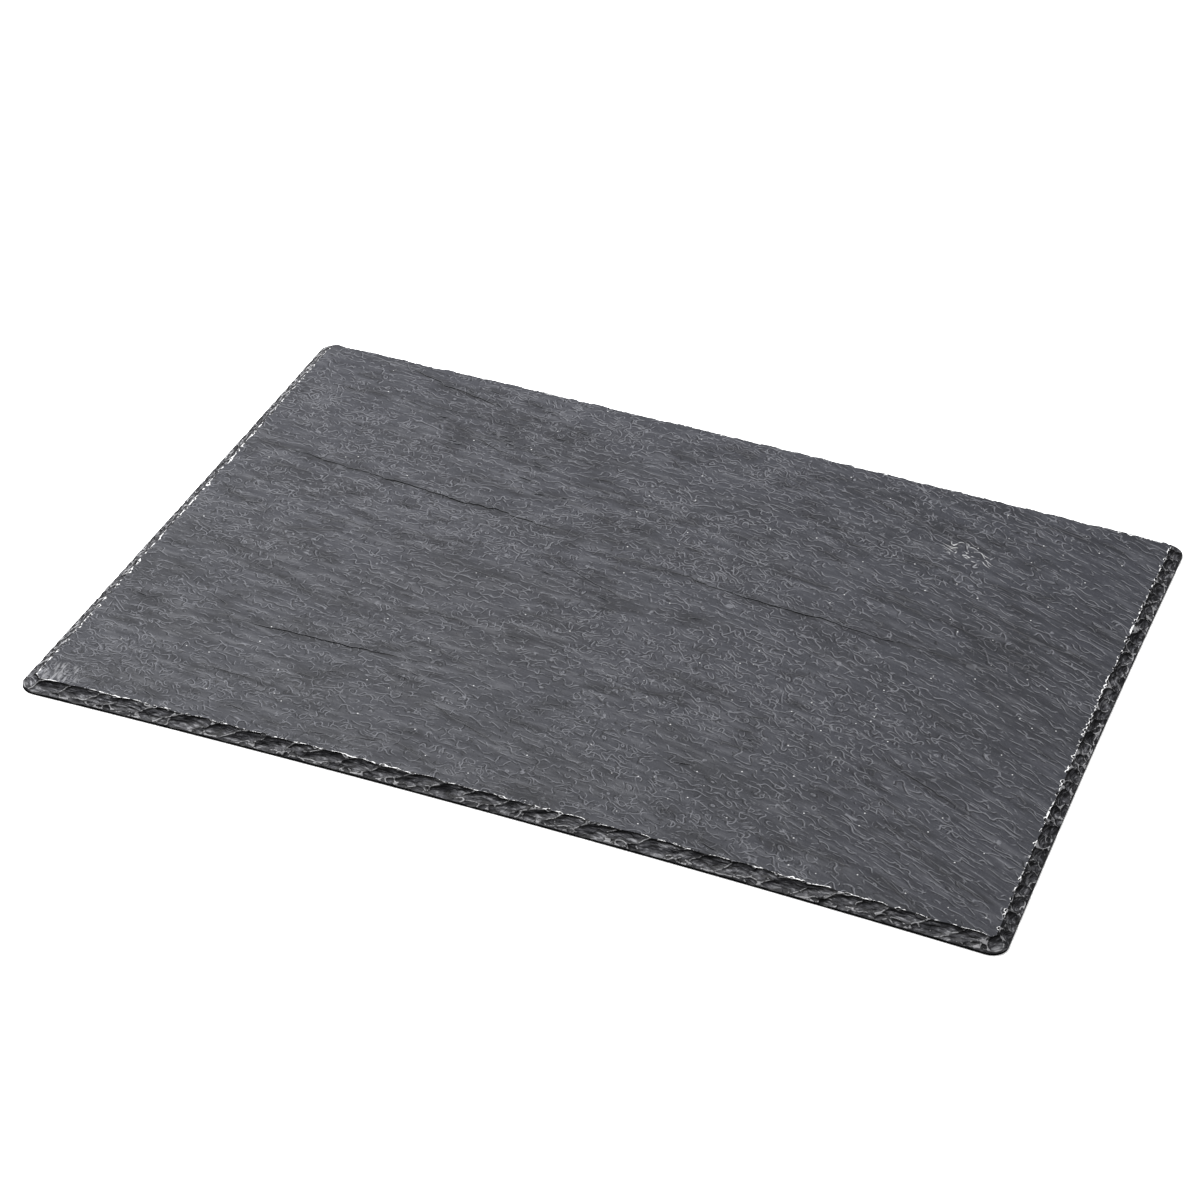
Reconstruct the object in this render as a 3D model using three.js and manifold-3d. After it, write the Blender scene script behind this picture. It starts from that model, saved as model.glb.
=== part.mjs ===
// A slab of riven slate, dressed to a rectangle. The underside is flat. The upper face is a cleft surface
// with low ledges where thin sheets came away, and the edge is a bevel of flake scars above an upright lip.
import * as THREE from "three";
import { mergeVertices } from "three/addons/utils/BufferGeometryUtils.js";
import Module from "manifold-3d";

// The slab, in millimetres: x along its length, y from front to back, z up from the underside
const LENGTH = 400;
const WIDTH = 300;
const THICKNESS = 5;

// The trimmed outline: how far the middle of a side lies inside or outside the line between its corners
const FRONT_HOLLOW = 3.5;
const RIGHT_HOLLOW = 0.9;
const BACK_BULGE = 2;
const LEFT_HOLLOW = 0.3;
const CORNER_RADIUS = 7;
const CURVE_STEPS = 6;

// The dressed edge: an upright lip at the foot, then a bevel up to the rim of the upper face
const LIP = 1;
const BEVEL_RUN = 5.5;
const BEVEL_RISE = THICKNESS - LIP;
const BEVEL_SLOPE = Math.hypot(BEVEL_RUN, BEVEL_RISE);

// Long flakes struck off the front and back: spacing along the edge, half sizes, bite and lean of each scar
const LONG_FLAKES = {
  spacing: [21, 29],
  halfLength: [17, 23],
  halfHeight: [3.8, 4.6],
  halfDepth: [3.4, 4.2],
  bite: [0.9, 1.3],
  height: [0.62, 0.74],
  lean: [0.1, 0.2],
  detail: 2,
};

// Short flakes on the left and right ends, leaning the other way
const SHORT_FLAKES = {
  spacing: [9, 13],
  halfLength: [6, 9.5],
  halfHeight: [4.2, 5.4],
  halfDepth: [3, 4],
  bite: [0.9, 1.3],
  height: [0.52, 0.72],
  lean: [-0.45, -0.1],
  detail: 1,
};

// Small bites along the foot of the bevel, below the long flakes
const FOOT_BITES = {
  spacing: [12, 21],
  halfLength: [2.6, 5],
  halfHeight: [2, 2.8],
  halfDepth: [1.6, 2.2],
  bite: [0.5, 0.8],
  height: [0.2, 0.34],
  lean: [-0.3, 0.5],
  detail: 1,
};

// A broader flake off the tip of each corner
const CORNER_FLAKE = {
  halfLength: [9, 11],
  halfHeight: [5.5, 6.5],
  halfDepth: [3.6, 4.2],
  bite: [1.2, 1.6],
  height: [0.6, 0.7],
  lean: [-0.2, 0.2],
  detail: 2,
};

// Ledges of the cleft face: each runs from one point to another as a low step that faces the front.
// The sheet that came away was `step` thick half way along, and it thins to nothing over `reach`.
const LEDGES = [
  { from: [-188, 53], to: [-38, 41], reach: 26, step: 0.45 },
  { from: [-14, 33], to: [150, 18], reach: 24, step: 0.4 },
  { from: [93, 52], to: [163, 33], reach: 12, step: 0.3 },
  { from: [-45, 23], to: [-3, 4], reach: 12, step: 0.35 },
  { from: [-149, -75], to: [-54, -71], reach: 18, step: 0.4 },
  { from: [-159, 138], to: [-102, 123], reach: 14, step: 0.35 },
  { from: [-124, 103], to: [-80, 85], reach: 14, step: 0.35 },
  { from: [58, 126], to: [110, 104], reach: 11, step: 0.25 },
  { from: [127, -58], to: [166, -76], reach: 10, step: 0.3 },
  { from: [138, -96], to: [186, -126], reach: 12, step: 0.25 },
  { from: [-49, -96], to: [-10, -112], reach: 10, step: 0.25 },
  { from: [-158, -37], to: [-116, -46], reach: 9, step: 0.25 },
];
const LEDGE_POINTS = 12;
const LEDGE_WANDER = [-1.6, 1.6];
const LEDGE_SEED = 10;
const SHEET_ROUNDNESS = 2.5;

// A shallow facet split off the upper face at the front left corner
const CORNER_FACET = { x: -185.5, y: -139.5, halfX: 13, halfY: 12, halfZ: 5, bite: 0.55, turn: 0.6 };

// A patch of small pits towards the back left
const PITS = { x: -101, y: 101, spreadX: 19, spreadY: 20, count: 7, radius: [1.1, 1.9], bite: [0.35, 0.6] };

const wasm = await Module();
wasm.setup();

function between([low, high]) {
  return low + (high - low) * THREE.MathUtils.seededRandom();
}

function solid(geometry) {
  geometry.deleteAttribute("normal");
  geometry.deleteAttribute("uv");
  const merged = mergeVertices(geometry);
  return new wasm.Manifold(
    new wasm.Mesh({
      numProp: 3,
      vertProperties: new Float32Array(merged.attributes.position.array),
      triVerts: new Uint32Array(merged.index.array),
    }),
  );
}

// One bowed side between two rounded corners, walked with the slab on the left hand
function bowedSide(start, end, hollow) {
  const along = end.clone().sub(start).normalize();
  const inward = new THREE.Vector2(-along.y, along.x);
  const first = start.clone().addScaledVector(along, CORNER_RADIUS);
  const last = end.clone().addScaledVector(along, -CORNER_RADIUS);
  const middle = first.clone().lerp(last, 0.5);
  return new THREE.QuadraticBezierCurve(first, middle.addScaledVector(inward, 2 * hollow), last);
}

const frontLeft = new THREE.Vector2(-LENGTH / 2, -WIDTH / 2);
const frontRight = new THREE.Vector2(LENGTH / 2, -WIDTH / 2);
const backRight = new THREE.Vector2(LENGTH / 2, WIDTH / 2 - BACK_BULGE);
const backLeft = new THREE.Vector2(-LENGTH / 2, WIDTH / 2 - BACK_BULGE);
const corners = [frontLeft, frontRight, backRight, backLeft];
const hollows = [FRONT_HOLLOW, RIGHT_HOLLOW, -BACK_BULGE, LEFT_HOLLOW];
const sides = corners.map((corner, i) => bowedSide(corner, corners[(i + 1) % 4], hollows[i]));
const [front, right, back, left] = sides;

// The quarter turn from the end of one side into the next
const turns = sides.map((side, i) => {
  const facing = (i - 1) * (Math.PI / 2);
  const centreX = side.v2.x - CORNER_RADIUS * Math.cos(facing);
  const centreY = side.v2.y - CORNER_RADIUS * Math.sin(facing);
  return new THREE.EllipseCurve(
    centreX, centreY, CORNER_RADIUS, CORNER_RADIUS, facing, facing + Math.PI / 2,
  );
});

// The blank: the outline with a plain bevel above the lip, cut off flat at the underside
function blank() {
  const outline = new THREE.Shape();
  sides.forEach((side, i) => {
    outline.add(side);
    outline.add(turns[i]);
  });
  const lipDepth = 2 * LIP;
  const bevelled = new THREE.ExtrudeGeometry(outline, {
    depth: lipDepth,
    curveSegments: CURVE_STEPS,
    bevelThickness: BEVEL_RISE,
    bevelSize: BEVEL_RUN,
    bevelOffset: -BEVEL_RUN,
    bevelSegments: 1,
  });
  bevelled.translate(0, 0, -LIP);
  const below = new THREE.BoxGeometry(2 * LENGTH, 2 * WIDTH, 2 * THICKNESS);
  below.translate(0, 0, -THICKNESS);
  return solid(bevelled).subtract(solid(below));
}

// One flake scar: an ellipsoid sunk into the bevel by its bite, long axis along the edge and leaning
function flake(curve, t, kind) {
  const foot = curve.getPoint(t);
  const tangent = curve.getTangent(t);
  const along = new THREE.Vector3(tangent.x, tangent.y, 0);
  const inward = new THREE.Vector3(-tangent.y, tangent.x, 0);
  const upSlope = inward.multiplyScalar(BEVEL_RUN);
  upSlope.z = BEVEL_RISE;
  upSlope.normalize();
  const outOfBevel = along.clone().cross(upSlope);

  const halfDepth = between(kind.halfDepth);
  const scoop = new THREE.IcosahedronGeometry(1, kind.detail);
  scoop.scale(between(kind.halfLength), between(kind.halfHeight), halfDepth);
  scoop.rotateZ(between(kind.lean));
  const onBevel = new THREE.Matrix4().makeBasis(along, upSlope, outOfBevel);
  const centre = new THREE.Vector3(foot.x, foot.y, LIP)
    .addScaledVector(upSlope, between(kind.height) * BEVEL_SLOPE)
    .addScaledVector(outOfBevel, halfDepth - between(kind.bite));
  scoop.applyMatrix4(onBevel.setPosition(centre));
  return solid(scoop);
}

// A row of scars from one end of a side to the other; each row's seed fixes its own run of sizes
function flakesAlong(curve, kind, seed) {
  THREE.MathUtils.seededRandom(seed);
  const length = curve.getLength();
  const scars = [];
  for (let run = between(kind.spacing) / 2; run < length; run += between(kind.spacing)) {
    scars.push(flake(curve, run / length, kind));
  }
  return scars;
}

// The sheet missing below a ledge: the front half of a flat scoop, broken off along a wandering line
function missingSheet({ from, to, reach, step }) {
  const start = new THREE.Vector2(...from);
  const run = new THREE.Vector2(...to).sub(start);
  const length = run.length();
  const halfThick = SHEET_ROUNDNESS * step;
  const widening = 1 / Math.sqrt(1 - (1 - 1 / SHEET_ROUNDNESS) ** 2);
  const scoop = new THREE.IcosahedronGeometry(1, 2);
  scoop.scale((widening * length) / 2, widening * reach, halfThick);
  scoop.translate(length / 2, 0, halfThick - step);

  const frontOfLedge = new THREE.Shape();
  frontOfLedge.moveTo(-length, 0);
  for (let i = 0; i <= LEDGE_POINTS; i += 1) {
    frontOfLedge.lineTo((i / LEDGE_POINTS) * length, between(LEDGE_WANDER));
  }
  frontOfLedge.lineTo(2 * length, 0);
  frontOfLedge.lineTo(2 * length, -2 * reach);
  frontOfLedge.lineTo(-length, -2 * reach);
  const wall = new THREE.ExtrudeGeometry(frontOfLedge, { depth: 4 * halfThick, bevelEnabled: false });
  wall.translate(0, 0, -2 * halfThick);

  const onFace = new THREE.Matrix4().makeRotationZ(run.angle()).setPosition(start.x, start.y, THICKNESS);
  scoop.applyMatrix4(onFace);
  wall.applyMatrix4(onFace);
  return solid(scoop).intersect(solid(wall));
}

function cornerFacet({ x, y, halfX, halfY, halfZ, bite, turn }) {
  const scoop = new THREE.IcosahedronGeometry(1, 2);
  scoop.scale(halfX, halfY, halfZ);
  scoop.rotateZ(turn);
  scoop.translate(x, y, THICKNESS + halfZ - bite);
  return solid(scoop);
}

function pits({ x, y, spreadX, spreadY, count, radius, bite }) {
  return Array.from({ length: count }, () => {
    const size = between(radius);
    const pit = new THREE.IcosahedronGeometry(size, 0);
    pit.translate(
      x + between([-spreadX, spreadX]),
      y + between([-spreadY, spreadY]),
      THICKNESS + size - between(bite),
    );
    return solid(pit);
  });
}

THREE.MathUtils.seededRandom(LEDGE_SEED);
const cuts = [
  ...LEDGES.map(missingSheet),
  ...flakesAlong(front, LONG_FLAKES, 11),
  ...flakesAlong(front, FOOT_BITES, 12),
  ...flakesAlong(right, SHORT_FLAKES, 13),
  ...flakesAlong(back, LONG_FLAKES, 14),
  ...flakesAlong(back, FOOT_BITES, 15),
  ...flakesAlong(left, SHORT_FLAKES, 16),
  ...turns.map((turn) => flake(turn, 0.5, CORNER_FLAKE)),
  cornerFacet(CORNER_FACET),
  ...pits(PITS),
];
const carved = cuts.reduce((slab, cut) => slab.subtract(cut), blank()).getMesh();

const geometry = new THREE.BufferGeometry();
geometry.setAttribute("position", new THREE.BufferAttribute(carved.vertProperties, 3));
geometry.setIndex(new THREE.BufferAttribute(carved.triVerts, 1));
geometry.computeVertexNormals();

// The corners are rounded and the sides hollow, so the outline is set back on the middle of its own box
geometry.computeBoundingBox();
const box = geometry.boundingBox;
geometry.translate(-(box.min.x + box.max.x) / 2, -(box.min.y + box.max.y) / 2, 0);

const slate = new THREE.MeshStandardMaterial({ color: 0x54555b, roughness: 0.72, metalness: 0 });
const slab = new THREE.Mesh(geometry, slate);
slab.name = "slate_slab";

const part = new THREE.Group();
part.add(slab);

export default part;
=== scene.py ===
# %% [markdown]
# # A slab of riven slate
# The real thing is one sheet of slate. It was split along its cleavage, which left a nearly flat face with low
# ledges, and then trimmed to a rectangle by striking flakes off the edge of that face. It lies on its back, so the
# struck side is up: a grey field of curling grain inside a chipped bevel. The lesson carves that one piece the way
# the mason did, and then gives it its stone.

# %% Load the frame
import math
import random

import bpy
import numpy as np
from mathutils import Matrix, Vector


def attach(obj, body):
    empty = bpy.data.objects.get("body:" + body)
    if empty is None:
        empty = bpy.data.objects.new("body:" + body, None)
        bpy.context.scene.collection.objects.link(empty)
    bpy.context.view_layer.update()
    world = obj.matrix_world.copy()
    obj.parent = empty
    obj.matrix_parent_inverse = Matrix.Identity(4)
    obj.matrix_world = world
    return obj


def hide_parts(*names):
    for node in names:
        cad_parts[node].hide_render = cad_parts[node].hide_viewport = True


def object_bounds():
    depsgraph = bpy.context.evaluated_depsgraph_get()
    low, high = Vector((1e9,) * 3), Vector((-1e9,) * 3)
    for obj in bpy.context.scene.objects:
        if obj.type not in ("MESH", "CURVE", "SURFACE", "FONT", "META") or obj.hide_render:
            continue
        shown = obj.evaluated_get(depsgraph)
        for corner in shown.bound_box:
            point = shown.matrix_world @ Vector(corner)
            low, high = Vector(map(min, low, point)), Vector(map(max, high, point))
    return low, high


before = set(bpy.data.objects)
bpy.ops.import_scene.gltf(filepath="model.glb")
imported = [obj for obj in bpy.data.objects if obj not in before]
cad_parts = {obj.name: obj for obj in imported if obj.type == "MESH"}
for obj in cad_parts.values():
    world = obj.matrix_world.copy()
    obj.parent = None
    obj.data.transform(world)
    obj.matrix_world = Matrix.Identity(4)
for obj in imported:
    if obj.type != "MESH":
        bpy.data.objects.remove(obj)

MM = 0.001
cad_low, cad_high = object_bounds()
LENGTH, WIDTH, THICKNESS = cad_high - cad_low
print("slab in the frame, mm:", [round(side / MM, 2) for side in (LENGTH, WIDTH, THICKNESS)])

# %% [markdown]
# ## The camera
# A product photo of a flat thing is taken with a long lens, so that the far edge hardly shrinks. The place, turn and
# lens below were worked out from the slab's own corners and edges. Building the matrix from three axes is plainer
# than chasing three rotation angles: one axis points back to the camera, one goes right, and the last is up.

# %% Camera at the photograph's angle
CAMERA_AZIMUTH = math.radians(18.282)
CAMERA_ELEVATION = math.radians(33.925)
CAMERA_ROLL = math.radians(3.811)
CAMERA_DISTANCE = 1491.8 * MM
CAMERA_AIM = Vector((-14.25, 6.06, 0)) * MM
CAMERA_LENS = 108.8

level = math.cos(CAMERA_ELEVATION)
back = Vector((
    math.sin(CAMERA_AZIMUTH) * level,
    -math.cos(CAMERA_AZIMUTH) * level,
    math.sin(CAMERA_ELEVATION),
))
right = Vector((math.cos(CAMERA_AZIMUTH), math.sin(CAMERA_AZIMUTH), 0))
up = back.cross(right)
rolled_right = math.cos(CAMERA_ROLL) * right + math.sin(CAMERA_ROLL) * up
rolled_up = math.cos(CAMERA_ROLL) * up - math.sin(CAMERA_ROLL) * right

camera = bpy.data.objects.new("camera", bpy.data.cameras.new("camera"))
bpy.context.collection.objects.link(camera)
camera.data.lens = CAMERA_LENS
turn = Matrix((rolled_right, rolled_up, back)).transposed().to_4x4()
camera.matrix_world = Matrix.Translation(CAMERA_AIM + back * CAMERA_DISTANCE) @ turn
bpy.context.scene.camera = camera
print("camera stands at, mm:", [round(value / MM) for value in camera.location])

# %% [markdown]
# ## Small helpers for working by hand
# Every operator acts on what is selected, and on the active object. These helpers put one object in hand, so that
# each later cell starts from a clean selection, and they apply a modifier as soon as it is set.

# %% Selection and modifier helpers
def take(thing):
    """Deselects everything, then selects one object and makes it active."""
    bpy.ops.object.select_all(action="DESELECT")
    thing.select_set(True)
    bpy.context.view_layer.objects.active = thing
    return thing


def added(name):
    """Names the primitive that was just added, with its size and place put into its mesh."""
    bpy.ops.object.transform_apply(location=True, rotation=True, scale=True)
    thing = bpy.context.object
    thing.name = name
    return thing


def finish_with(thing, kind, **settings):
    """Adds one modifier with its settings and applies it."""
    take(thing)
    modifier = thing.modifiers.new(kind.title(), kind)
    for name, value in settings.items():
        setattr(modifier, name, value)
    bpy.ops.object.modifier_apply(modifier=modifier.name)
    return thing


def cut(thing, tool, operation="DIFFERENCE"):
    """Cuts or trims one solid with another, and throws the tool away."""
    finish_with(thing, "BOOLEAN", object=tool, operation=operation, solver="MANIFOLD")
    bpy.data.objects.remove(tool)
    return thing


def points_of(thing):
    """The vertex places of an object, one row each."""
    flat = np.empty(3 * len(thing.data.vertices))
    thing.data.vertices.foreach_get("co", flat)
    return flat.reshape(-1, 3)


def mark_faces(thing, kind):
    """Writes on every face what it is, so that cutting carries the mark into the slab."""
    mark = thing.data.attributes.new("struck", "FLOAT", "FACE")
    mark.data.foreach_set("value", np.full(len(thing.data.polygons), kind, np.float32))


def set_points(thing, points):
    thing.data.vertices.foreach_set("co", points.astype(np.float32).ravel())
    thing.data.update()


print("helpers ready")

# %% [markdown]
# ## The split sheet
# Splitting gives the whole face at once, so it comes first: a wide grid, larger than the slab, pulled down into a
# block. The grid is finer where the rim will run, because the chips there are small. A finer grid all over would
# only waste triangles on a face that is almost flat.

# %% Sheet with a finer border
SHEET_MARGIN = 4 * MM
SHEET_STEP = 2.3 * MM
SHEET_DEPTH = 8 * MM
RIM_BAND = 10 * MM

sheet_length = LENGTH + 2 * SHEET_MARGIN
sheet_width = WIDTH + 2 * SHEET_MARGIN
bpy.ops.object.select_all(action="DESELECT")
bpy.ops.mesh.primitive_grid_add(
    x_subdivisions=round(sheet_length / SHEET_STEP),
    y_subdivisions=round(sheet_width / SHEET_STEP),
    size=1,
    location=(0, 0, THICKNESS),
)
bpy.ops.transform.resize(value=(sheet_length, sheet_width, 1))
slab = added("slate_slab_riven")
bpy.ops.object.mode_set(mode="EDIT")
bpy.ops.mesh.select_all(action="DESELECT")
bpy.ops.object.mode_set(mode="OBJECT")
for face in slab.data.polygons:
    from_end = LENGTH / 2 - abs(face.center.x)
    from_side = WIDTH / 2 - abs(face.center.y)
    face.select = min(from_end, from_side) < RIM_BAND
bpy.ops.object.mode_set(mode="EDIT")
bpy.ops.mesh.subdivide(number_cuts=1)
bpy.ops.mesh.select_all(action="SELECT")
bpy.ops.mesh.extrude_region_move(TRANSFORM_OT_translate={"value": (0, 0, -SHEET_DEPTH)})
bpy.ops.mesh.select_all(action="SELECT")
bpy.ops.mesh.normals_make_consistent(inside=False)
bpy.ops.object.mode_set(mode="OBJECT")
RIVEN, STRUCK = 0, 1
mark_faces(slab, RIVEN)
print("sheet:", len(slab.data.polygons), "faces")

# %% [markdown]
# ## Ledges
# A riven face steps down wherever a thin sheet came away with its neighbour. Each step is crisp along one line, where
# the sheet broke, and fades out on the other side. A Displace texture would only give soft waves, so each missing
# sheet is modelled as a tool of its own: a small grid whose floor dips to the step along its back edge and rises out
# of the stone in front, pulled up into a closed shape and cut from the block.

# %% Missing sheets, large ones where the photograph shows them
LEDGES = [
    # start, end, reach to the front, step: all in millimetres
    ((-188, 53), (-38, 41), 26, 0.42),
    ((-14, 33), (150, 18), 24, 0.36),
    ((93, 52), (163, 33), 12, 0.28),
    ((-45, 23), (-3, 4), 12, 0.32),
    ((-149, -75), (-54, -71), 18, 0.38),
    ((-159, 138), (-102, 123), 14, 0.32),
    ((-124, 103), (-80, 85), 14, 0.32),
    ((58, 126), (110, 104), 11, 0.22),
    ((127, -58), (166, -76), 10, 0.28),
    ((138, -96), (186, -126), 12, 0.22),
    ((-49, -96), (-10, -112), 10, 0.22),
    ((-158, -37), (-116, -46), 9, 0.22),
]
SMALL_LEDGES = 60
TINY_LEDGES = 150
BROKEN_LEDGES = 26
BROKEN_MIDDLE, BROKEN_SPREAD = (-98, 92), (34, 40)
STATION = 1.3
LEDGE_ROWS = 4
FEATHER = 1.2
CLEAR_ABOVE = 2 * MM
ledge_luck = random.Random(4)


def grain_slope(x):
    """How the grain falls to the right: level on the left, steeper towards the right end."""
    return -0.08 - 0.42 * max(0.0, x / (LENGTH / 2 / MM)) ** 1.5


def broken_line(stations, jump):
    """How far a break strays from straight: small steps all the way and a jump now and then."""
    strays = [0.0]
    for _ in range(stations):
        step = ledge_luck.gauss(0, 0.16 * jump)
        if ledge_luck.random() < 0.13:
            step += ledge_luck.uniform(-jump, jump)
        strays.append(0.93 * strays[-1] + step)
    return strays


def missing_sheet(start, end, reach, step):
    """A tool in the shape of one sheet that came away, lying in the top of the block."""
    start, end = Vector(start) * MM, Vector(end) * MM
    along = (end - start).normalized()
    to_front = Vector((along.y, -along.x))
    stations = max(5, round((end - start).length / MM / STATION))
    strays = broken_line(stations, min(0.12 * reach, 0.9) * MM)
    depths = broken_line(stations, 0.25)
    bpy.ops.object.select_all(action="DESELECT")
    bpy.ops.mesh.primitive_grid_add(x_subdivisions=stations, y_subdivisions=LEDGE_ROWS, size=1)
    tool = added("missing_sheet")
    places = points_of(tool)
    for place in places:
        share, across = place[0] + 0.5, 0.5 - place[1]
        number = round(share * stations)
        envelope = math.sin(math.pi * share) ** 0.6 * max(0.25, 1 + depths[number]) - 0.06
        width = reach * MM * (0.35 + 0.65 * math.sin(math.pi * share))
        plan = start.lerp(end, share) + to_front * (across * width - strays[number])
        drop = step * MM * envelope * (1 - FEATHER * across ** 0.8)
        place[:] = plan.x, plan.y, THICKNESS - drop
    set_points(tool, places)
    bpy.ops.object.mode_set(mode="EDIT")
    bpy.ops.mesh.select_all(action="SELECT")
    bpy.ops.mesh.extrude_region_move(TRANSFORM_OT_translate={"value": (0, 0, CLEAR_ABOVE)})
    bpy.ops.mesh.select_all(action="SELECT")
    bpy.ops.mesh.normals_make_consistent(inside=False)
    bpy.ops.object.mode_set(mode="OBJECT")
    mark_faces(tool, RIVEN)
    return tool


def small_ledge(lengths, steps, middle=(0, 0), spread=(188, 138)):
    """A short ledge anywhere on a stretch of the face, lying along the grain."""
    x = middle[0] + spread[0] * ledge_luck.uniform(-1, 1)
    y = middle[1] + spread[1] * ledge_luck.uniform(-1, 1)
    length = ledge_luck.uniform(*lengths)
    lean = math.atan(grain_slope(x)) + ledge_luck.gauss(0, 0.2)
    end = (x + length * math.cos(lean), y + length * math.sin(lean))
    return (x, y), end, length * ledge_luck.uniform(0.25, 0.5), ledge_luck.uniform(*steps)


print("grain falls by", round(grain_slope(190), 2), "at the right end")

# %% [markdown]
# ## Cutting in rounds
# Tools that overlap can't be cut as one solid: the fast solver needs tools that don't run into each other. So the
# tools are sorted into rounds. A tool goes into the first round where it stands clear of every other, and each round
# is joined and cut at once. A hundred tools then take a handful of cuts.

# %% Sort the tools into rounds and cut
def reach_of(tool):
    """The middle of a tool in plan, and the circle round it."""
    places = points_of(tool)[:, :2]
    middle = (places.min(0) + places.max(0)) / 2
    return middle, np.linalg.norm(places - middle, axis=1).max()


def cut_in_rounds(thing, tools):
    """Cuts all the tools from one solid, in as few rounds as keep them apart."""
    rounds = []
    for tool in tools:
        middle, radius = reach_of(tool)
        for group in rounds:
            if all(np.linalg.norm(middle - m) > radius + r for m, r, _ in group):
                group.append((middle, radius, tool))
                break
        else:
            rounds.append([(middle, radius, tool)])
    for group in rounds:
        members = [tool for _, _, tool in group]
        take(members[0])
        for tool in members[1:]:
            tool.select_set(True)
        if len(members) > 1:
            bpy.ops.object.join()
        cut(thing, members[0])
    return len(rounds)


tools = [missing_sheet(*ledge) for ledge in LEDGES]
tools += [missing_sheet(*small_ledge((9, 30), (0.08, 0.2))) for _ in range(SMALL_LEDGES)]
tools += [missing_sheet(*small_ledge((3, 9), (0.12, 0.3))) for _ in range(TINY_LEDGES)]
tools += [
    missing_sheet(*small_ledge((3, 8), (0.25, 0.45), BROKEN_MIDDLE, BROKEN_SPREAD))
    for _ in range(BROKEN_LEDGES)
]
count = cut_in_rounds(slab, tools)
print("ledges cut:", len(tools), "in", count, "rounds;", len(slab.data.polygons), "faces")

# %% [markdown]
# ## The lie of the face
# Between its ledges the face isn't a plane: it swells over a hand's width, ripples along the grain and is rough over
# a few millimetres. Three Displace modifiers do this well, since all three are soft shapes. An empty sets the scale
# of each, longer along the grain than across it, and every one only pushes down, so that the slab keeps its height.

# %% Swell, ripple and roughness
RELIEF = [
    # name, size along the grain, size across it, depth
    ("swell", 110 * MM, 60 * MM, 0.30 * MM),
    ("ripple", 26 * MM, 8 * MM, 0.13 * MM),
    ("rough", 7 * MM, 4 * MM, 0.07 * MM),
]
GRAIN_TURN = -0.16

top = slab.vertex_groups.new(name="top")
heights = points_of(slab)[:, 2]
top.add([int(i) for i in np.flatnonzero(heights > THICKNESS / 2)], 1, "REPLACE")
for name, along, across, depth in RELIEF:
    scale = bpy.data.objects.new(name, None)
    bpy.context.collection.objects.link(scale)
    scale.scale = (along, across, 1)
    scale.rotation_euler.z = GRAIN_TURN
    bpy.context.view_layer.update()
    texture = bpy.data.textures.new(name, "CLOUDS")
    texture.noise_scale = 1
    texture.noise_depth = 2
    finish_with(
        slab,
        "DISPLACE",
        texture=texture,
        texture_coords="OBJECT",
        texture_coords_object=scale,
        direction="Z",
        strength=depth,
        mid_level=1,
        vertex_group="top",
    )
    bpy.data.objects.remove(scale)
print("face lies between", np.round(np.array([
    points_of(slab)[heights > THICKNESS / 2, 2].min(),
    points_of(slab)[heights > THICKNESS / 2, 2].max(),
]) / MM, 2), "mm")

# %% [markdown]
# ## The dressed form
# Trimming leaves an upright lip at the foot and a sloping edge above it. The outline isn't quite a rectangle: the
# front edge is hollow, the back one bulges and the corners are rounded off. A plane gets its corners by a vertex
# bevel and its bow by moving the points of each side. Extrude gives the lip, an inset with depth gives the slope,
# and the block is trimmed to that form.

# %% Outline, lip and slope
CORNER_RADIUS = 7 * MM
FRONT_HOLLOW = 3.5 * MM
RIGHT_HOLLOW = 0.9 * MM
BACK_BULGE = 2 * MM
LEFT_HOLLOW = 0.3 * MM
LIP = 1 * MM
BEVEL_RUN = 5.5 * MM
BEVEL_RISE = THICKNESS - LIP
BEVEL_SLOPE = math.hypot(BEVEL_RUN, BEVEL_RISE)
OVERSHOOT = 1.25

half_length = LENGTH / 2
front_y = -WIDTH / 2
back_y = WIDTH / 2 - BACK_BULGE
run_x = half_length - CORNER_RADIUS
run_y = (back_y - front_y) / 2 - CORNER_RADIUS
middle_y = (front_y + back_y) / 2

bpy.ops.object.select_all(action="DESELECT")
bpy.ops.mesh.primitive_plane_add(size=1, location=(0, middle_y, 0))
bpy.ops.transform.resize(value=(LENGTH, back_y - front_y, 1))
form = added("dressed_form")
bpy.ops.object.mode_set(mode="EDIT")
bpy.ops.mesh.select_all(action="SELECT")
bpy.ops.mesh.bevel(offset_type="ABSOLUTE", offset=CORNER_RADIUS, segments=7, affect="VERTICES")
bpy.ops.mesh.select_all(action="DESELECT")
bpy.ops.object.mode_set(mode="OBJECT")
for edge in form.data.edges:
    ends = [form.data.vertices[i].co for i in edge.vertices]
    edge.select = (ends[0] - ends[1]).length > WIDTH / 2
bpy.ops.object.mode_set(mode="EDIT")
bpy.ops.mesh.select_mode(type="EDGE")
bpy.ops.mesh.subdivide(number_cuts=40)
bpy.ops.object.mode_set(mode="OBJECT")


def bowed(share):
    """Nothing at the ends of a side, all of its bow half way."""
    return max(0.0, 1 - share**2)


NEAR = 0.01 * MM
for point in form.data.vertices:
    place = point.co
    along_x = bowed(place.x / run_x)
    along_y = bowed((place.y - middle_y) / run_y)
    if abs(place.y - front_y) < NEAR:
        place.y += FRONT_HOLLOW * along_x
    elif abs(place.y - back_y) < NEAR:
        place.y += BACK_BULGE * along_x
    elif abs(place.x - half_length) < NEAR:
        place.x -= RIGHT_HOLLOW * along_y
    elif abs(place.x + half_length) < NEAR:
        place.x += LEFT_HOLLOW * along_y

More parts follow.
